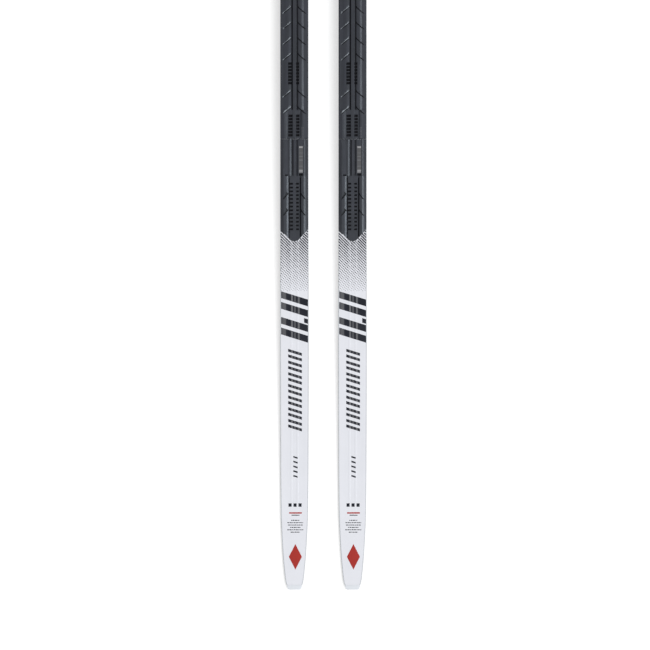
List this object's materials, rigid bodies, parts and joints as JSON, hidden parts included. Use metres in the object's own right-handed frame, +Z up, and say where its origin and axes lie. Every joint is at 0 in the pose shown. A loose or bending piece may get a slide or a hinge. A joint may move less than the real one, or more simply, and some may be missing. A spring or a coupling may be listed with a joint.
{
  "type": "cross country ski",
  "caption": "Pair of cross-country skating skis with a sandwich core, a cambered running base and toothed plates for slide-on bindings.",
  "frame": {"origin": "on the floor, midway between the two skis and halfway along them", "axes": "+Y towards the tips, +X to the right seen from behind, +Z up"},
  "size_m": [0.1388, 1.92, 0.0528],
  "materials": {
    "running_base": "satin",
    "carbon_laminate": "semi-gloss",
    "foam_core": "matte",
    "dense_core": "matte",
    "end_plastic": "satin",
    "sidewall": "satin",
    "topsheet": "satin",
    "adhesive": "matte",
    "binding_plate": "satin",
    "label": "satin",
    "ink_black": "satin",
    "ink_red": "satin",
    "ink_grey": "satin"
  },
  "bodies": {
    "left_ski": {"left_ski_base": "running_base", "left_ski_bottom_laminate": "carbon_laminate", "left_ski_core_rear": "foam_core", "left_ski_core_middle": "dense_core", "left_ski_core_front": "foam_core", "left_ski_sidewall_left": "sidewall", "left_ski_sidewall_right": "sidewall", "left_ski_carbon_strip_left": "carbon_laminate", "left_ski_carbon_strip_right": "carbon_laminate", "left_ski_top_laminate": "carbon_laminate", "left_ski_topsheet": "topsheet", "left_ski_tail_protector": "end_plastic", "left_ski_tip_protector": "end_plastic", "left_ski_adhesive_rear": "adhesive", "left_ski_adhesive_front": "adhesive", "left_ski_plate_rear": "binding_plate", "left_ski_plate_front": "binding_plate", "left_ski_plate_label": "label"},
    "right_ski": {"right_ski_base": "running_base", "right_ski_bottom_laminate": "carbon_laminate", "right_ski_core_rear": "foam_core", "right_ski_core_middle": "dense_core", "right_ski_core_front": "foam_core", "right_ski_sidewall_left": "sidewall", "right_ski_sidewall_right": "sidewall", "right_ski_carbon_strip_left": "carbon_laminate", "right_ski_carbon_strip_right": "carbon_laminate", "right_ski_top_laminate": "carbon_laminate", "right_ski_topsheet": "topsheet", "right_ski_tail_protector": "end_plastic", "right_ski_tip_protector": "end_plastic", "right_ski_adhesive_rear": "adhesive", "right_ski_adhesive_front": "adhesive", "right_ski_plate_rear": "binding_plate", "right_ski_plate_front": "binding_plate", "right_ski_plate_label": "label"}
  },
  "joints": [
    {"name": "right_ski_lift", "type": "slide", "parent": "left_ski", "child": "right_ski", "axis": [0, 0, 1], "range_m": [0, 0.15]}
  ]
}
